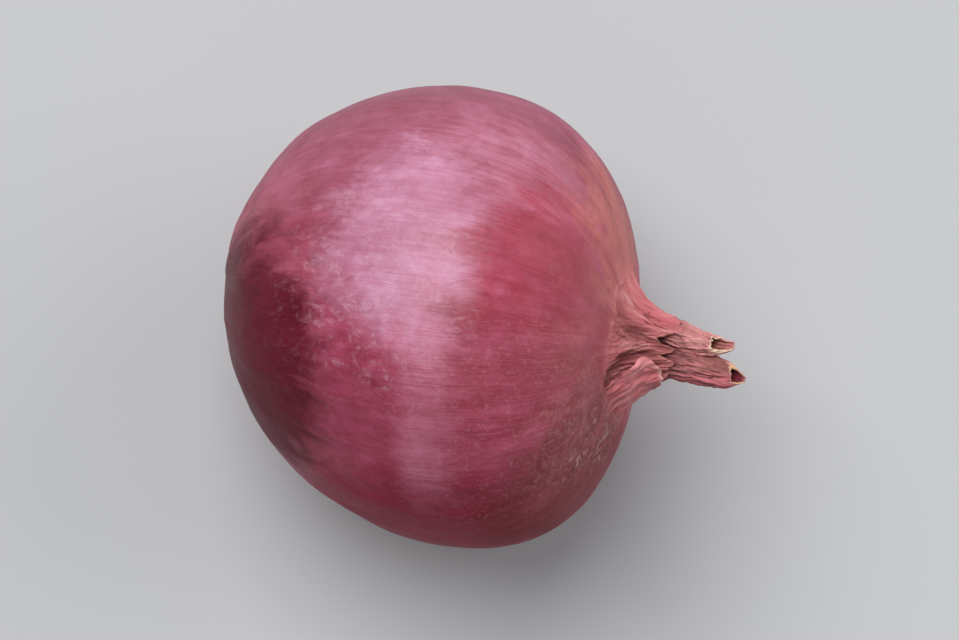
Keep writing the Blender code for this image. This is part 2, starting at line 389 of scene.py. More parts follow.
def bulb_grid():
    """The bulb's rows from beside its root pole to the torn end of the neck's sheath, and then back inside
    the sheath. Returns the points, the values that its material reads, and how far up its column each
    point is, from 0 at the root pole to 1 at the end."""
    turn = ring(TURNS)
    rim, end = torn_edges(turn)
    collar = np.linspace(0, 1, COLLAR_ROWS)[:, None] * rim
    sheath = mix(rim + RIM_STEP, end, np.linspace(0, 1, NECK_ROWS)[:, None])
    neck_share = np.concatenate([collar, sheath])
    grid = smooth_rows(turn, neck_share)

    spacing = lengths(np.diff(grid, axis=0))[..., 0]
    arc = np.concatenate([np.zeros((1, TURNS)), np.cumsum(spacing, axis=0)])
    arc = arc + lengths(grid[:1] - ROOT_POLE)[..., 0]
    foot_row = len(grid) - len(neck_share)
    past_foot = arc - arc[foot_row]
    share = np.concatenate([-np.ones((foot_row, TURNS)), neck_share])
    on_neck = share >= 0
    up_neck = np.clip(share, 0, 1)
    turn_grid = np.broadcast_to(turn, share.shape)

    gather = smooth(-0.008, 0.0, past_foot)
    height, crease = neck_folds(turn_grid, past_foot, up_neck, gather)
    groove, split = leaf_grooves(turn_grid, up_neck)
    hollow = flap_hollow(turn_grid, up_neck)
    height = height - GROOVE_DEPTH * groove
    height = height - HOLLOW_DEPTH * hollow
    height = height + outermost_skin(turn, share, rim, past_foot, gather)
    height = height + body_lumps(grid, turn_grid, arc, past_foot)
    grid = grid + grid_normals(grid) * height[..., None]
    whole = np.concatenate([grid, sheath_inside(grid[-1])])

    stain = bell(angle_between(turn_grid, split + STAIN_OFFSET), 0.42)
    rim_line = bell(share - rim, 0.035) * on_neck
    end_line = np.exp(-((end - share) / 0.03)) * on_neck

    def carried(values, inside):
        """Values of the rows outside, carried on by a value for the rows inside."""
        return np.concatenate([values, np.broadcast_to(inside, (INNER_ROWS, TURNS))])

    inner_arc = arc[-1:] + INNER_ROW_SPACING * np.arange(1, INNER_ROWS + 1)[:, None]
    rise = np.concatenate([arc, inner_arc]) / (inner_arc[-1:] + INNER_ROW_SPACING)
    round_turn = np.broadcast_to(turn, rise.shape)
    values = {
        # The crease values mark where shade is painted on the neck: in the folds' creases, the grooves
        # between the leaves, the hollow along the tongue's upper edge and inside the sheath. The stain
        # values are a real brown stain beside the near groove, and painted shade in that hollow.
        "crease": carried(np.clip(crease + groove * 0.55 + hollow * 0.9, 0, 1), 0.5),
        "dry": carried(smooth(-0.001, 0.005, past_foot), 1.0),
        "stain": carried(np.clip(stain * smooth(0.05, 0.6, up_neck) + hollow * 0.8, 0, 1), 0.5),
        "edge": carried(np.clip(rim_line * 0.6 + end_line, 0, 1), 0.4),
        "fibre": fibre_places(round_turn, carried(arc, arc[-1:]) / BULB_RADIUS),
        "own": whole / BULB_RADIUS,
        "around": np.broadcast_to(round_onion(turn), whole.shape),
    }
    return whole, values, rise


# -------- meshes


def linked(name, data):
    made = bpy.data.objects.new(name, data)
    bpy.context.scene.collection.objects.link(made)
    return made


def mesh_object(name, points, faces, values):
    """A smooth object whose points carry values, numbers or vectors, that its material reads."""
    mesh = bpy.data.meshes.new(name)
    mesh.from_pydata(points.tolist(), [], faces)
    for key, value in values.items():
        kind, field = ("FLOAT_VECTOR", "vector") if value.ndim == 2 else ("FLOAT", "value")
        made = mesh.attributes.new(key, kind, "POINT")
        made.data.foreach_set(field, value.astype(np.float32).ravel())
    mesh.shade_smooth()
    mesh.update()
    return linked(name, mesh)


def ring_quads(index):
    """Faces between the rows of a grid of point numbers whose columns close on themselves."""
    near, far = index[:-1], index[1:]
    return np.stack([near, np.roll(near, -1, 1), np.roll(far, -1, 1), far], -1).reshape(-1, 4).tolist()


def grid_object(name, grid, values, first_pole, last_pole):
    """A closed object from a grid whose columns close on themselves, with a pole at each end."""
    rows, columns = grid.shape[:2]
    count = rows * columns
    index = np.arange(count).reshape(rows, columns)
    first = [(count, int(b), int(a)) for a, b in zip(index[0], np.roll(index[0], -1))]
    last = [(count + 1, int(a), int(b)) for a, b in zip(index[-1], np.roll(index[-1], -1))]
    points = np.concatenate([grid.reshape(-1, 3), [first_pole, last_pole]])
    with_poles = {}
    for key, value in values.items():
        poles = [value[0].mean(axis=0), value[-1].mean(axis=0)]
        with_poles[key] = np.concatenate([value.reshape(count, *value.shape[2:]), poles])
    return mesh_object(name, points, ring_quads(index) + first + last, with_poles)


def strip_object(name, grid, values):
    """A thin closed sheet from a grid whose columns run out over its top and back under it."""
    rows, columns = grid.shape[:2]
    count = rows * columns
    index = np.arange(count).reshape(rows, columns)
    faces = ring_quads(index)
    for row, flip in ((index[0], True), (index[-1], False)):
        for i in range(columns // 2 - 1):
            quad = [row[i], row[i + 1], row[columns - 2 - i], row[columns - 1 - i]]
            faces.append([int(v) for v in (quad[::-1] if flip else quad)])
    flat_values = {key: value.reshape(count, *value.shape[2:]) for key, value in values.items()}
    return mesh_object(name, grid.reshape(-1, 3), faces, flat_values)


def unroll(mesh, rise):
    """Gives the mesh of grid_object a map: once round the onion across it, and by rise up it."""
    rows, columns = rise.shape
    side = np.broadcast_to(np.arange(columns + 1) / columns, (rows, columns + 1))
    place = np.stack([side, np.pad(rise, ((0, 0), (0, 1)), mode="wrap")], -1)
    near, far = place[:-1], place[1:]
    quads = np.stack([near[:, :-1], near[:, 1:], far[:, 1:], far[:, :-1]], 2)
    middle = (side[0, :-1] + side[0, 1:]) / 2
    start = np.stack([middle, np.zeros(columns)], -1)
    end = np.stack([middle, np.ones(columns)], -1)
    first = np.stack([start, place[0, 1:], place[0, :-1]], 1)
    last = np.stack([end, place[-1, :-1], place[-1, 1:]], 1)
    corners = np.concatenate([part.reshape(-1, 2) for part in (quads, first, last)])
    layer = mesh.uv_layers.new(name="OFBake")
    layer.data.foreach_set("uv", corners.astype(np.float32).ravel())


# -------- dry leaf ends


def leaf_rim(turn, front, back, facing, seed):
    """Where a leaf's torn rim lies: at share front on the side it faces, and at share back behind."""
    facing_share = (1 + np.cos(turn - facing)) / 2
    rim = mix(back, front, smooth(0.3, 1.0, facing_share))
    rim = rim + 0.05 * ring_noise(turn, 2, seed, 3)
    rim = rim + 0.012 * ring_noise(turn, 7, seed + 3, 1)
    return np.minimum(rim, 1.0)


def leaf_object(name, path, widths, thicknesses, *, front, back, facing, pale_turn, lip, seed):
    """A dry leaf end: a flattened, folded tube that stays open at its torn tip. The rim is palest round
    pale_turn, and the inner wall keeps the leaf's outer colours for about the length lip from the rim;
    deeper in it takes a darker colour that is partly painted shade."""
    turn = ring(LEAF_TURNS)
    rim = leaf_rim(turn, front, back, facing, seed)
    outer_share = np.linspace(0, 1, LEAF_ROWS)[:, None] * rim
    inner_share = np.linspace(1, 0.35, LEAF_INNER_ROWS)[:, None] * rim
    share = np.concatenate([outer_share, inner_share])
    inside = np.concatenate([np.zeros_like(outer_share), np.ones_like(inner_share)])

    keys = np.linspace(0, 1, len(widths))
    half_width = np.interp(share, keys, widths) / 2
    half_thickness = np.interp(share, keys, thicknesses) / 2
    half_width = np.maximum(half_width - LEAF_WALL * inside, LEAST_HALF_WIDTH)
    half_thickness = np.maximum(half_thickness - LEAF_WALL * inside, LEAST_HALF_THICKNESS)

    path = [np.array(point, float) for point in path]
    place = share[..., None]
    step = 0.01
    centre = curve_point(path, place)
    heading = unit(curve_point(path, place + step) - curve_point(path, place - step))
    sideways = unit(np.cross([0, 0, 1.0], heading))
    upwards = np.cross(heading, sideways)
    turn_grid = np.broadcast_to(turn, share.shape)
    length = float(np.linalg.norm(path[-1] - path[0]))
    along = share * length
    coarse, coarse_crease = folds(turn_grid, along / COARSE_LEAF_FOLD, fineness=1.7, seed=seed)
    middling, middling_crease = folds(turn_grid, along / MIDDLING_LEAF_FOLD, fineness=3.6, seed=seed + 7)
    fine, fine_crease = folds(turn_grid, along / FINE_LEAF_FOLD, fineness=8.0, seed=seed + 13)
    swell = 1 + 0.34 * coarse + 0.26 * middling + 0.12 * fine
    across = sideways * (half_width * np.cos(turn_grid) * swell)[..., None]
    over = upwards * (half_thickness * np.sin(turn_grid) * swell)[..., None]

    palest = bell(angle_between(turn_grid, pale_turn), 0.6)
    below_rim = (rim - share) * length
    wear = np.exp(-below_rim / mix(RIM_WEAR, PALE_RIM_WEAR, palest))
    crease = np.maximum(coarse_crease, middling_crease * 0.85) * 0.9 + fine_crease * 0.3
    values = {
        # crease and foot mark painted shade, in the folds' creases and at the foot where the leaf goes into
        # the sheath; inside marks the inner wall's darker colour, which deep in the hollow is partly
        # painted shade.
        "crease": np.clip(crease, 0, 1),
        "edge": wear * (1 + 2 * palest),
        "inside": inside * smooth(lip * 0.4, lip * 1.4, below_rim),
        "foot": 1 - smooth(0.2, 0.42, share),
        "fibre": fibre_places(turn_grid, along / 0.004),
    }
    first_pole = centre[0].mean(axis=0)
    last_pole = centre[-1].mean(axis=0)
    return grid_object(name, centre + across + over, values, first_pole, last_pole)


def upper_leaf():
    base = NECK_END + np.array([GAP, (NECK_WIDTH - UPPER_LEAF_WIDTH) / 2, 0])
    path = (
        base - [LEAF_ROOT_DEPTH, -0.0007, 0.0],
        base + [0.0, -0.0005, 0.0004],
        base + [UPPER_LEAF_LENGTH * 0.6, -0.0016, 0.0006],
        base + [UPPER_LEAF_LENGTH * 1.08, -0.0007, 0.0017],
    )
    return leaf_object(
        "upper_leaf",
        path,
        widths=[0.0042, 0.0043, 0.0041, 0.0035, 0.0024, 0.0013],
        thicknesses=[0.0046, 0.0048, 0.0038, 0.0028, 0.0019, 0.0009],
        front=0.70,
        back=1.0,
        facing=math.radians(70),
        pale_turn=math.radians(150),
        lip=0.0036,
        seed=4.0,
    )


def lower_leaf():
    base = NECK_END + np.array([GAP, (LOWER_LEAF_WIDTH - NECK_WIDTH) / 2, 0])
    path = (
        base - [LEAF_ROOT_DEPTH, 0.0, 0.0],
        base + [0.0, -0.0001, -0.0002],
        base + [LOWER_LEAF_LENGTH * 0.6, -0.0010, -0.0006],
        base + [LOWER_LEAF_LENGTH * 1.10, -0.0013, -0.0010],
    )
    return leaf_object(
        "lower_leaf",
        path,
        widths=[0.0046, 0.0047, 0.0046, 0.0048, 0.0040, 0.0008],
        thicknesses=[0.0050, 0.0052, 0.0042, 0.0034, 0.0024, 0.0008],
        front=0.84,
        back=1.0,
        facing=math.radians(74),
        pale_turn=math.radians(10),
        lip=0.0005,
        seed=9.0,
    )


# -------- the torn collar


def flap_lift(along, across, ripple):
    """How far the tongue of skin stands off the neck, which it lies on at its foot."""
    lift = mix(FLAP_FOOT_LIFT, FLAP_LIFT, smooth(0, 0.7, along))
    lift = lift + FLAP_CROWN * (1 - across**2) * smooth(0, 0.6, along)
    lift = lift + FLAP_CURL * smooth(0.1, 0.6, along) * np.clip(-across, 0, 1) ** 2
    lift = lift - FLAP_DROOP * smooth(0.75, 1.0, along)
    lift = lift + FLAP_WAVE * noise_field(across * 5, along * 2, 9.0) * (1 - smooth(0.2, 0.5, along))
    return lift + FLAP_RIPPLE * ripple * (0.4 + along)


def torn_flap():
    """A tongue of skin, torn from the collar, whose free end stands off the neck."""
    along = np.linspace(0, 1, FLAP_ROWS)[:, None]
    across = np.linspace(-1, 1, FLAP_COLUMNS)[None]
    ragged = noise_field(across * 2.2, 1.0, 5.0, 3)
    rounding = 1 - np.sqrt(1 - 0.985 * across**2)
    reach = 0.83 + 0.03 * ragged - 0.24 * rounding + 0.015 * noise_field(across * 5, 2.0, 5.0, 1)
    share = 0.05 + reach * along
    centre = mix(FLAP_FOOT_TURN, FLAP_END_TURN, smooth(0, 1, share))
    half_angle = mix(FLAP_FOOT_SPREAD, FLAP_END_SPREAD, smooth(0, 0.9, share))
    turn = centre + half_angle * across * (1 + 0.10 * noise_field(along * 4, across, 3.0))
    ripple = noise_field(across * 2.0, along * 2.2, 7.0, 3)

    step = 0.002
    along_heading = unit(neck_point(turn, share + step) - neck_point(turn, share - step))
    across_heading = unit(neck_point(turn + step, share) - neck_point(turn - step, share))
    normal = unit(np.cross(along_heading, across_heading) * -1)
    outer = neck_point(turn, share) + normal * flap_lift(along, across, ripple)[..., None]
    inner = outer - normal * FLAP_WALL

    def both(value):
        """Values of the top, and the same ones for the underside."""
        return np.concatenate([value, value[:, ::-1]], axis=1)

    end_edge = np.exp(-(1 - along) / 0.05)
    side_edge = np.exp(-(1 - np.abs(across)) / 0.05) * smooth(0, 0.3, along)
    fibre = np.stack([across * np.ones_like(along), np.zeros_like(turn), share * 4.0], -1)
    values = {
        # crease marks painted shade in the ripples' creases, and foot marks painted shade at the tongue's
        # foot, where it lies on the neck.
        "crease": both(0.8 * bell(ripple, 0.07)),
        "edge": both(np.maximum(end_edge, side_edge)),
        "inside": np.concatenate([np.zeros_like(turn), np.ones_like(turn)], axis=1),
        "foot": both(1 - smooth(0.08, 0.42, along + 0.12 * ragged)),
        "fibre": both(fibre),
    }
    return strip_object("torn_skin", np.concatenate([outer, inner[:, ::-1]], axis=1), values)


# -------- the root end


def root_plate():
    """The corky disc that the roots grow from."""
    radii, heights = np.array(PLATE_PROFILE).T
    turn, radius = np.broadcast_arrays(ring(PLATE_TURNS)[None], radii[:, None])
    wobble = 1 + 0.1 * ring_noise(turn, 2, radius * 300, 3)
    bumps = 0.0005 * noise_field(np.cos(turn) * radius * 900, np.sin(turn) * radius * 900, 4.0, 3)
    out = heights[:, None] + bumps
    grid = ROOT_POLE - X_AXIS * out[..., None] + outward(turn) * (radius * wobble)[..., None]
    values = {
        "edge": radius / PLATE_RADIUS,
        "fibre": np.stack([np.cos(turn) * radius * 300, np.sin(turn) * radius * 300, radius * 900], -1),
    }
    return grid_object("root_plate", grid, values, ROOT_POLE - X_AXIS * 0.001, ROOT_POLE + X_AXIS * 0.002)


def root_line(draw, number):
    """One root's line, which leaves the plate, droops and wanders, with the root's thickness and the phase
    of its swellings."""
    down = np.array([-math.sin(NECK_RISE), 0, -math.cos(NECK_RISE)])
    angle = draw.uniform(0, math.tau)
    out = outward(np.array(angle))
    radius = ROOT_RING_RADIUS * math.sqrt(draw.uniform(0.02, 1))
    splay = out * draw.uniform(0.2, 1.0) * radius / ROOT_RING_RADIUS
    length = draw.uniform(0.0020, 0.0046) * (1 - 0.4 * max(0.0, math.sin(angle)))
    thick = draw.uniform(0.00022, 0.0004)
    curl = draw.uniform(-1, 1)
    phase = draw.uniform(0, 9)
    line = [ROOT_POLE - X_AXIS * ROOT_DEPTH + out * radius]
    heading = -X_AXIS * 0.45 + splay * 0.55 + down * 0.45
    for i in range(ROOT_STEPS):
        share = i / ROOT_STEPS
        heading = heading + down * (0.3 + 0.3 * share) + X_AXIS * 0.16 * share
        places = [(phase + share * 2.4, curl + 9 * axis, number * 0.37) for axis in range(3)]
        wander = np.array([noise.noise(place) for place in places])
        heading = unit(heading) + wander * 0.34
        line.append(line[-1] + unit(heading) * length / ROOT_STEPS)
    return np.array(line), thick, phase


def roots():
    """Dried and trimmed roots that hang from the root plate, each a thin, uneven tube."""
    draw = random.Random(7)
    points, faces, fibres, tips = [], [], [], []
    for number in range(ROOT_COUNT):
        index = len(points) + np.arange((ROOT_STEPS + 1) * ROOT_SIDES).reshape(-1, ROOT_SIDES)
        faces += ring_quads(index)
        faces += [index[0, ::-1].tolist(), index[-1].tolist()]
        line, thick, phase = root_line(draw, number)
        for i, point in enumerate(line):
            share = i / ROOT_STEPS
            ahead = unit(line[min(i + 1, ROOT_STEPS)] - line[max(i - 1, 0)])
            side = unit(np.cross(ahead, [0.1, 0.9, 0.3]))
            other = np.cross(ahead, side)
            width = thick * (1 - 0.55 * share) * (1 + 0.2 * math.sin(phase + share * 17))
            for k in range(ROOT_SIDES):
                angle = math.tau * k / ROOT_SIDES
                points.append(point + (side * math.cos(angle) + other * math.sin(angle) * 0.7) * width)
                fibres.append((math.cos(angle) + number, math.sin(angle), share * 5 + phase))
                tips.append(share)
    values = {"fibre": np.array(fibres), "edge": np.array(tips)}
    return mesh_object("roots", np.array(points), faces, values)


# -------- materials


class Painter:
    """Builds one material out of nodes. Its methods take numbers or sockets, and return a socket."""

    def __init__(self, name):
        self.material = bpy.data.materials.new(name)
        self.material.use_nodes = True
        self.tree = self.material.node_tree
        self.shader = self.tree.nodes["Principled BSDF"]
        self.colour = None

    def node(self, kind, inputs, output=0, **settings):
        made = self.tree.nodes.new(kind)
        for key, value in settings.items():
            setattr(made, key, value)
        for key, value in inputs.items():
            self.put(made.inputs[key], value)
        return made.outputs[output]

    def put(self, socket, value):
        """Links a socket to an input, or sets a number, a vector or an opaque colour on it."""
        if isinstance(value, bpy.types.NodeSocket):
            self.tree.links.new(value, socket)
        elif socket.type == "RGBA":
            socket.default_value = (*value, 1)
        else:
            socket.default_value = value

    def attribute(self, name, output="Fac"):
        return self.node("ShaderNodeAttribute", {}, output, attribute_name=name)

    def math(self, operation, first, second=0.0):
        return self.node("ShaderNodeMath", {0: first, 1: second}, operation=operation)

    def plus(self, first, *others):
        for other in others:
            first = self.math("ADD", first, other)
        return first

    def times(self, first, *others):
        for other in others:
            first = self.math("MULTIPLY", first, other)
        return first

    def away(self, value, middle):
        """How far a value is from another."""
        return self.math("ABSOLUTE", self.math("SUBTRACT", value, middle))

    def vector(self, operation, first, second=(0, 0, 0), output=0):
        return self.node("ShaderNodeVectorMath", {0: first, 1: second}, output, operation=operation)

    def ramp(self, value, low, high, start=0.0, end=1.0):
        """A smooth step from start, where the value is low, to end, where it is high."""
        inputs = {"Value": value, "From Min": low, "From Max": high, "To Min": start, "To Max": end}
        return self.node("ShaderNodeMapRange", inputs, interpolation_type="SMOOTHSTEP")

    def lines(self, value, width):
        """1 along the lines where a value is a half, and 0 away from them."""
        return self.ramp(self.away(value, 0.5), width, width * 0.1)

    def noise(self, places, scale, detail, seed=0.0, roughness=0.6, distortion=0.0, stretch=(1, 1, 1)):
        """Noise about 0 to 1 at places, which are first stretched and then moved along by a seed."""
        moved = self.vector("MULTIPLY", places, stretch)
        moved = self.vector("ADD", moved, (seed, seed * 0.7, seed * 1.3))
        inputs = {
            "Vector": moved,
            "Scale": scale,
            "Detail": detail,
            "Roughness": roughness,
            "Distortion": distortion,
        }
        return self.node("ShaderNodeTexNoise", inputs)

    def grain(self, across, along, detail, seed, roughness=0.6, distortion=0.0):
        """Noise that runs with the fibres, by how fine it is across and along them."""
        fibre = self.attribute("fibre", "Vector")
        return self.noise(fibre, 1.0, detail, seed, roughness, distortion, (across, across, along))

    def mix(self, share, first, second):
        return self.node("ShaderNodeMix", {0: share, 6: first, 7: second}, 2, data_type="RGBA")

    def lay(self, paint, place, strength=1.0):
        """Lays paint over the colour so far: where place is 1, as much of it as strength says."""
        share = place if strength == 1.0 else self.times(place, strength)
        self.colour = self.mix(share, self.colour, paint)

    def bump(self, height, distance, strength=1.0, normal=None):
        inputs = {"Height": height, "Distance": distance, "Strength": strength}
        if normal is not None:
            inputs["Normal"] = normal
        return self.node("ShaderNodeBump", inputs)

    def finish(self, **sockets):
        for key, value in sockets.items():
            self.put(self.shader.inputs[key.replace("_", " ")], value)
        return self.material


class SkinPainter(Painter):
    """Paints the bulb's skin and the dry sheath of its neck, in layers from the broad colours up."""

    def __init__(self):
        super().__init__("onion_skin")
        self.own = self.attribute("own", "Vector")
        self.dry = self.attribute("dry")
        self.direction = self.vector("NORMALIZE", self.own)
        self.along = self.node("ShaderNodeSeparateXYZ", {0: self.direction}, "X")
        self.blotch = self.grain(2.3, 1.6, detail=4, distortion=0.6, seed=3)
        self.mottle = self.noise(self.own, 6.0, detail=8, roughness=0.75, distortion=0.3, seed=61)
        self.streak = self.grain(8, 2.2, detail=5, roughness=0.65, distortion=0.9, seed=9)
        self.thread = self.grain(40, 3.2, detail=3, distortion=0.3, seed=17)
        self.hair = self.grain(105, 5.0, detail=2, roughness=0.5, distortion=0.2, seed=23)
        self.wither = self.grain(5, 6, detail=4, roughness=0.65, distortion=0.2, seed=55)
        vein = self.lines(self.grain(13, 0.8, detail=2, roughness=0.5, distortion=0.3, seed=77), 0.022)
        veinlet = self.lines(self.grain(30, 0.9, detail=2, roughness=0.5, distortion=0.3, seed=97), 0.045)
        vein = self.math("MAXIMUM", vein, self.times(veinlet, 0.75))
        self.vein = self.times(vein, self.ramp(self.streak, 0.32, 0.56, 0.3, 1.0))
        ragged = self.grain(5, 3.2, detail=5, roughness=0.7, distortion=0.6, seed=27)
        self.ragged = self.ramp(ragged, 0.25, 0.75, -0.055, 0.055)

    def patch(self, polar, turn, inner, outer, ragged=None):
        """1 within the angle inner of a place on the bulb, and 0 beyond outer, with a ragged edge between
        them. All angles are in degrees."""
        polar, turn = math.radians(polar), math.radians(turn)
        middle = (math.cos(polar), math.sin(polar) * math.cos(turn), math.sin(polar) * math.sin(turn))
        near = self.vector("DOT_PRODUCT", self.direction, middle, "Value")
        near = self.plus(near, self.ragged if ragged is None else ragged)
        return self.ramp(near, math.cos(math.radians(outer)), math.cos(math.radians(inner)))

    def paint_body(self):
        """Paint that stands for light and shade: a painted highlight, palest on the bulb's top, on the
        shoulder beside it and in a streak below it; a painted reflection, a mauve veil on the far side; and
        painted shade, darkest towards the roots and low on one side. The other patches are the skin's own
        colours.
        """
        blotchy = self.ramp(self.blotch, 0.35, 0.66)
        self.colour = self.mix(blotchy, (0.325, 0.034, 0.082), (0.42, 0.078, 0.132))
        # Painted shade: the dark low side, which faces away from the key light.
        self.painted_shade_low_side = self.patch(polar=88, turn=170, inner=16, outer=48)
        self.lay((0.255, 0.004, 0.030), self.painted_shade_low_side, 0.97)
        # Painted reflection: a mauve veil on the far side.
        painted_reflection_far_side = self.patch(polar=96, turn=34, inner=20, outer=60)
        self.lay((0.335, 0.084, 0.138), painted_reflection_far_side, 0.8)
        # Painted highlight: pale paint on the shoulder beside the bulb's top.
        painted_highlight_shoulder = self.patch(polar=70, turn=54, inner=8, outer=32)
        self.lay((0.47, 0.15, 0.22), painted_highlight_shoulder, 0.7)
        torn_along = self.plus(self.along, self.ragged)
        # Painted highlight: pale paint on the bulb's top, which ends sharply towards the neck.
        painted_crown_highlight = self.patch(polar=88, turn=76, inner=10, outer=33)
        self.painted_crown_highlight = self.times(painted_crown_highlight, self.ramp(torn_along, 0.38, 0.20))
        self.lay((0.55, 0.235, 0.36), self.painted_crown_highlight, 0.95)
        flank = self.patch(polar=106, turn=120, inner=6, outer=26)
        self.lay((0.285, 0.029, 0.070), flank, 0.88)
        # Painted shade: near-black towards the roots.
        self.painted_shade_root_side = self.patch(polar=140, turn=119, inner=20, outer=39)
        self.lay((0.105, 0.002, 0.013), self.painted_shade_root_side, 0.97)
        # Painted highlight: a pale streak round the bulb, below the painted highlight on its top.
        painted_highlight_band = self.ramp(self.away(torn_along, 0.16), 0.17, 0.02)
        painted_highlight_band = self.times(painted_highlight_band, self.patch(polar=80, turn=112, inner=12, outer=44))
        self.lay((0.52, 0.17, 0.26), painted_highlight_band, 0.62)
        below = self.patch(polar=60, turn=106, inner=4, outer=24)
        self.lay((0.27, 0.034, 0.06), below, 0.8)
        crimson = self.patch(polar=55, turn=74, inner=6, outer=26)
        self.lay((0.36, 0.034, 0.066), crimson, 0.8)
        warm = self.patch(polar=24, turn=100, inner=12, outer=34)
        self.lay((0.345, 0.066, 0.079), warm, 0.7)
        tan = self.patch(polar=32, turn=20, inner=6, outer=30)
        self.lay((0.58, 0.165, 0.135), tan, 0.75)
        self.brown = self.patch(polar=44, turn=166, inner=12, outer=36)
        self.lay((0.215, 0.038, 0.043), self.brown, 0.88)

    def paint_fibres(self):
        """Fibres run from the roots to the neck, and make the skin darker and redder or paler. They fade
        near the neck and under the painted highlight on the bulb's top."""
        strength = self.times(
            self.ramp(self.streak, 0.28, 0.72, 0.90, 1.10),
            self.ramp(self.thread, 0.25, 0.75, 0.95, 1.05),
            self.ramp(self.hair, 0.25, 0.75, 0.96, 1.04),
            self.ramp(self.vein, 0, 1, 1.0, 0.90),
        )
        near_neck = self.ramp(self.along, 0.88, 0.6, 0.35, 1.0)
        fade = self.times(near_neck, self.ramp(self.painted_crown_highlight, 0, 1, 1.0, 0.7))
        strength = self.plus(self.times(self.math("SUBTRACT", strength, 1.0), fade), 1.0)
        blotchy = self.ramp(self.blotch, 0.3, 0.7, 0.92, 1.08)
        mottled = self.ramp(self.mottle, 0.3, 0.7, 0.88, 1.12)
        strength = self.times(strength, blotchy, mottled)
        deeper = self.times(strength, strength)
        tint = self.node("ShaderNodeCombineXYZ", {0: strength, 1: deeper, 2: deeper})
        self.colour = self.vector("MULTIPLY", self.colour, tint)

    def paint_scuffs(self):
        """Short pale scratches and rubbed places, most of them on the crown."""
        scratch = self.grain(13, 9, detail=5, roughness=0.75, distortion=1.2, seed=41)
        rubbed = self.noise(self.own, 24.0, detail=4, roughness=0.7, distortion=0.5, seed=71)
        zone = self.patch(polar=100, turn=92, inner=8, outer=36)
        self.scuff = self.times(
            self.ramp(scratch, 0.44, 0.72),
            self.ramp(rubbed, 0.36, 0.66),
            self.ramp(zone, 0, 1, 0.08, 0.65),
            self.ramp(self.painted_shade_root_side, 0, 1, 1.0, 0.4),
        )
        self.lay((0.66, 0.38, 0.46), self.scuff)

    def paint_dust(self):
        """Dust clings to the dry brown skin near the neck, and more finely to that whole side."""
        dust = self.noise(self.own, 58.0, detail=4, roughness=0.7, distortion=0.6, seed=101)
        dusty = self.patch(polar=62, turn=128, inner=10, outer=42)
        dust = self.times(self.ramp(dust, 0.52, 0.72), self.ramp(dusty, 0, 1, 0.0, 0.4))
        self.lay((0.56, 0.24, 0.26), dust)
        speck = self.noise(self.own, 30.0, detail=5, roughness=0.75, distortion=0.4)
        specked = self.patch(polar=34, turn=142, inner=4, outer=30)
        speck = self.times(self.ramp(speck, 0.46, 0.66), self.ramp(specked, 0, 1, 0.02, 0.36))
        self.lay((0.48, 0.23, 0.22), speck)

    def paint_flakes(self):
        """Torn, papery flakes under the tongue of skin."""
        zone = self.patch(polar=30, turn=160, inner=2, outer=14)
        dark_flake = self.noise(self.own, 15.0, detail=4, roughness=0.7, distortion=1.2, seed=89)
        self.lay((0.15, 0.03, 0.03), self.times(self.ramp(dark_flake, 0.50, 0.62), zone))
        flake = self.noise(self.own, 13.0, detail=5, roughness=0.7, distortion=1.6, seed=83)
        self.flake = self.times(self.ramp(flake, 0.50, 0.60), self.times(zone, 0.7))
        self.lay((0.58, 0.31, 0.27), self.flake)

    def paint_root_end(self):
        """The root end fades to tan."""
        frayed = self.times(self.plus(self.ragged, self.ramp(self.mottle, 0.3, 0.7, -0.05, 0.05)), 0.2)
        root_end = self.patch(polar=180, turn=0, inner=8, outer=17, ragged=frayed)
        husk = self.mix(self.ramp(self.thread, 0.3, 0.7), (0.33, 0.15, 0.09), (0.50, 0.28, 0.18))
        self.lay(husk, root_end, 0.9)

    def paint_neck(self):
        """The neck is dry, dusty skin, with pale torn edges, a brown stain, and painted shade in its
        creases, grooves and hollows.
        """
        self.lay((0.58, 0.17, 0.185), self.dry, 0.85)
        withered = self.times(self.ramp(self.wither, 0.45, 0.68), self.dry)
        self.lay((0.69, 0.31, 0.31), withered, 0.8)
        # A brown stain, which in the hollow along the tongue's upper edge is painted shade.
        stain = self.times(self.attribute("stain"), self.ramp(self.wither, 0.62, 0.40, 0.25, 0.85))
        self.lay((0.21, 0.068, 0.062), stain)
        # Painted shade in the creases, the grooves between the leaves, the hollow along the tongue and
        # inside the sheath.
        self.lay((0.14, 0.028, 0.032), self.ramp(self.attribute("crease"), 0.3, 1.0), 0.72)
        self.lay((0.60, 0.26, 0.22), self.attribute("edge"), 0.4)

    def surface(self):
        """The skin is glossy along its fibres, and duller where it is worn or dry and where shade is
        painted on it.
        """
        rough = self.plus(
            self.ramp(self.blotch, 0.2, 0.8, 0.37, 0.46),
            self.ramp(self.streak, 0.3, 0.7, -0.03, 0.05),
            self.times(self.scuff, 0.2),
            self.times(self.brown, 0.18),
            self.times(self.dry, 0.28),
        )
        dull = self.math("MAXIMUM", self.math("MAXIMUM", self.painted_shade_root_side, self.painted_shade_low_side), self.dry)
        height = self.plus(
            self.times(self.thread, 0.35),
            self.times(self.vein, 0.16),
            self.times(self.streak, 0.6),
            self.times(self.wither, self.times(self.dry, 1.5)),
            self.times(self.scuff, 0.25),
            self.times(self.flake, 1.2),
        )
        relief = self.bump(height, distance=0.00013)
        pores = self.noise(self.own, 90.0, detail=3)
        return self.finish(
            Base_Color=self.colour,
            Roughness=rough,
            Normal=self.bump(pores, distance=0.00005, strength=0.6, normal=relief),
            Specular_IOR_Level=self.ramp(dull, 0, 1, 0.30, 0.1),
            Anisotropic=0.5,
            Tangent=self.attribute("around", "Vector"),
        )


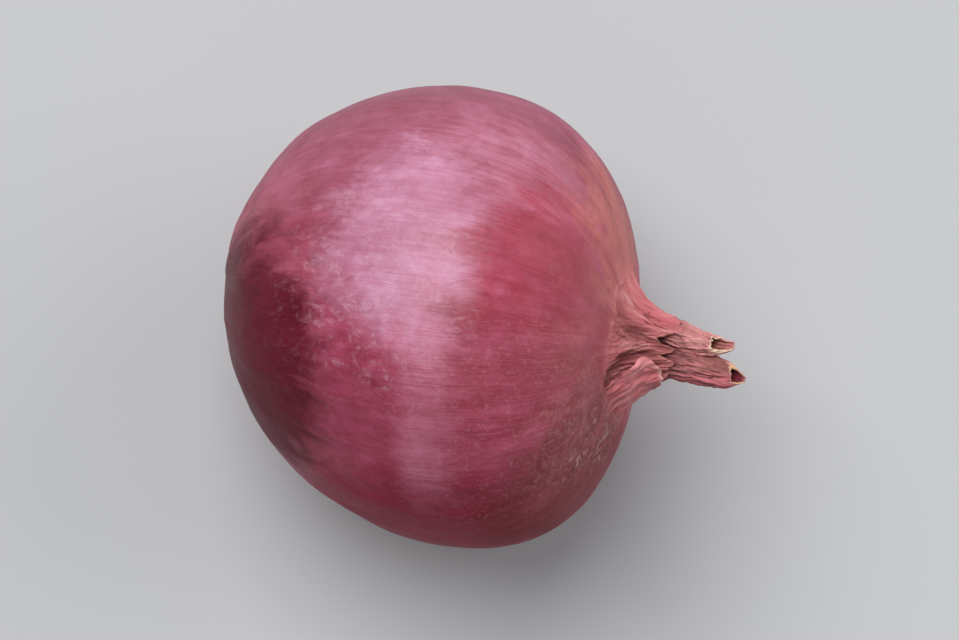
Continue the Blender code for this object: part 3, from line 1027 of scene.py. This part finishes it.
def skin_material():
    painter = SkinPainter()
    painter.paint_body()
    painter.paint_fibres()
    painter.paint_scuffs()
    painter.paint_dust()
    painter.paint_flakes()
    painter.paint_root_end()
    painter.paint_neck()
    return painter.surface()


def leaf_material(name, *, body, pale, dark, inner, rim, stained):
    """Dry, withered skin: stained with brown by the share stained, with painted shade in its creases and at
    its foot, a darker colour on the inside that in the leaf ends' hollows is partly painted shade, and its
    own colours along the torn rim."""
    p = Painter(name)
    wither = p.grain(1.4, 0.5, detail=4, distortion=0.3, seed=2)
    thread = p.grain(7, 0.6, detail=3, seed=8)
    stain = p.grain(0.9, 0.35, detail=3, distortion=0.4, seed=47)
    patchy = p.grain(1.1, 0.3, detail=3, seed=31)
    worn = p.times(p.attribute("edge"), p.ramp(patchy, 0.40, 0.60, 0.25, 1.1))
    p.colour = p.mix(p.ramp(wither, 0.35, 0.65), body, pale)
    p.lay((0.24, 0.09, 0.075), p.ramp(stain, 0.48, 0.62), stained)
    p.lay(dark, p.ramp(thread, 0.5, 0.28, 0.0, 0.6))
    # Painted shade at the foot and in the creases. The inside's darker colour is partly painted shade.
    p.lay(dark, p.attribute("foot"), 0.55)
    p.lay(dark, p.ramp(p.attribute("crease"), 0.3, 1.0), 0.85)
    p.lay(inner, p.attribute("inside"), 0.92)
    p.lay(rim, p.ramp(worn, 0.25, 0.85))
    height = p.plus(p.times(thread, 0.5), p.times(wither, 0.8))
    return p.finish(
        Base_Color=p.colour,
        Roughness=p.ramp(thread, 0.2, 0.8, 0.55, 0.75),
        Normal=p.bump(height, distance=0.00022),
        Specular_IOR_Level=0.25,
    )


def root_material(name, *, pale, dark):
    """Corky, fibrous skin, which darkens towards the roots' tips and the plate's edge."""
    p = Painter(name)
    wither = p.grain(1.2, 0.8, detail=4, distortion=0.2, seed=5)
    thread = p.grain(4, 3, detail=3, roughness=0.65, seed=12)
    p.colour = p.mix(p.ramp(wither, 0.35, 0.65), dark, pale)
    p.lay((0.12, 0.06, 0.03), p.ramp(thread, 0.5, 0.3, 0.0, 0.6))
    p.lay((0.26, 0.13, 0.06), p.attribute("edge"), 0.35)
    return p.finish(
        Base_Color=p.colour,
        Roughness=p.ramp(thread, 0.2, 0.8, 0.7, 0.9),
        Normal=p.bump(thread, distance=0.0002),
    )


# -------- putting it together


def onion_matrix():
    """Tips the neck up and sets the onion where the CAD model's bulb is."""
    neck_rows = 60
    smooth_bulb = smooth_rows(ring(TURNS), np.linspace(0, 1, neck_rows)[:, None])
    tipped = smooth_bulb.reshape(-1, 3) @ TILT.T
    low, high = (np.array(corner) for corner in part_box("bulb"))
    place = (low + high - tipped.min(axis=0) - tipped.max(axis=0)) / 2
    place[2] = high[2] - tipped[:, 2].max()
    return Matrix.Translation(place) @ Matrix.Rotation(-NECK_RISE, 4, "Y")


def settle(piece, matrix):
    """Moves a piece's mesh from the bulb's own axes into the row frame, and keeps it on the floor."""
    piece.data.transform(matrix)
    points = np.empty(len(piece.data.vertices) * 3, np.float32)
    piece.data.vertices.foreach_get("co", points)
    points = points.reshape(-1, 3)
    softness = 0.00012
    lifted = softness * np.logaddexp(0, points[:, 2] / softness)
    points[:, 2] = np.where(points[:, 2] < 20 * softness, lifted, points[:, 2])
    piece.data.vertices.foreach_set("co", points.ravel())
    piece.data.update()


matrix = onion_matrix()
grid, values, rise = bulb_grid()
skin = grid_object("bulb_skin", grid, values, ROOT_POLE, NECK_END - X_AXIS * SHEATH_DEPTH)
unroll(skin.data, rise)
skin.data.materials.append(skin_material())
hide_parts("bulb")

upper = upper_leaf()
upper.data.materials.append(
    leaf_material(
        "upper_leaf",
        body=(0.56, 0.155, 0.17),
        pale=(0.74, 0.34, 0.33),
        dark=(0.17, 0.04, 0.045),
        inner=(0.34, 0.11, 0.055),
        rim=(0.80, 0.58, 0.43),
        stained=0.35,
    )
)
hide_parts("neck_leaf_upper")

lower = lower_leaf()
lower.data.materials.append(
    leaf_material(
        "lower_leaf",
        body=(0.44, 0.10, 0.12),
        pale=(0.56, 0.20, 0.21),
        dark=(0.12, 0.03, 0.035),
        inner=(0.15, 0.012, 0.024),
        rim=(0.66, 0.40, 0.25),
        stained=0.85,
    )
)
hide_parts("neck_leaf_lower")

torn = torn_flap()
torn.data.materials.append(
    leaf_material(
        "torn_skin",
        body=(0.55, 0.145, 0.165),
        pale=(0.66, 0.25, 0.26),
        dark=(0.20, 0.05, 0.055),
        inner=(0.30, 0.06, 0.07),
        rim=(0.64, 0.32, 0.28),
        stained=0.2,
    )
)
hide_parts("skin_flap")

plate = root_plate()
plate.data.materials.append(
    root_material("root_plate", pale=(0.42, 0.25, 0.14), dark=(0.24, 0.12, 0.065))
)
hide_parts("root_tuft")

tuft = roots()
tuft.data.materials.append(root_material("roots", pale=(0.60, 0.41, 0.25), dark=(0.36, 0.20, 0.11)))

for piece in (skin, upper, lower, torn, plate, tuft):
    settle(piece, matrix)
    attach(piece, "root")


# -------- stage, light and camera


def add_floor():
    low, high = -FLOOR_REACH, FLOOR_REACH
    corners = [(low, low, 0), (high, low, 0), (high, high, 0), (low, high, 0)]
    mesh = bpy.data.meshes.new("floor")
    mesh.from_pydata(corners, [], [(0, 1, 2, 3)])
    mesh.materials.append(Painter("floor").finish(Base_Color=(0.52, 0.53, 0.545), Roughness=0.9))
    linked("floor", mesh)


def add_world():
    """A soft, pale surrounding, brighter towards the floor's far edge, so that no horizon shows."""
    world = bpy.data.worlds.new("studio")
    world.use_nodes = True
    nodes, links = world.node_tree.nodes, world.node_tree.links
    background = nodes["Background"]
    background.inputs["Color"].default_value = (0.95, 0.97, 1.0, 1)
    split = nodes.new("ShaderNodeSeparateXYZ")
    links.new(nodes.new("ShaderNodeTexCoord").outputs["Generated"], split.inputs[0])
    haze = nodes.new("ShaderNodeMapRange")
    haze.interpolation_type = "SMOOTHSTEP"
    links.new(split.outputs["Z"], haze.inputs["Value"])
    for key, value in {"From Max": 0.2, "To Min": 0.58, "To Max": 0.24}.items():
        haze.inputs[key].default_value = value
    links.new(haze.outputs[0], background.inputs["Strength"])
    bpy.context.scene.world = world


def add_sun(name, direction, spread, strength):
    """A soft sun that shines from a direction, spread over an angle in degrees."""
    light = bpy.data.lights.new(name, "SUN")
    light.angle = math.radians(spread)
    light.energy = strength
    made = linked(name, light)
    made.rotation_mode = "QUATERNION"
    made.rotation_quaternion = Vector(direction).to_track_quat("Z", "Y")


def add_camera():
    """A camera nearly straight above the onion, which looks at it at the height of the bulb's middle."""
    camera = bpy.data.cameras.new("camera")
    camera.lens = CAMERA_LENS
    camera.sensor_width = CAMERA_SENSOR
    camera.clip_end = 100
    made = linked("camera", camera)
    place = matrix.translation + CAMERA_OFFSET
    middle = (cad_low + cad_high) / 2
    aim = Vector((middle.x, middle.y, matrix.translation.z))
    back = (place - aim).normalized()
    right = Vector((1, 0, 0))
    right = (right - back * right.dot(back)).normalized()
    up = back.cross(right)
    rolled_right = right * math.cos(CAMERA_ROLL) + up * math.sin(CAMERA_ROLL)
    rolled_up = up * math.cos(CAMERA_ROLL) - right * math.sin(CAMERA_ROLL)
    axes = Matrix((rolled_right, rolled_up, back)).transposed()
    made.matrix_world = Matrix.Translation(place) @ axes.to_4x4()
    bpy.context.scene.camera = made


add_floor()
add_world()
add_sun("key", direction=(-0.36, 0.36, 0.86), spread=46, strength=2.7)
add_sun("side", direction=(0.75, 0.45, 0.5), spread=50, strength=0.9)
add_camera()
bpy.context.scene.view_settings.view_transform = "Standard"
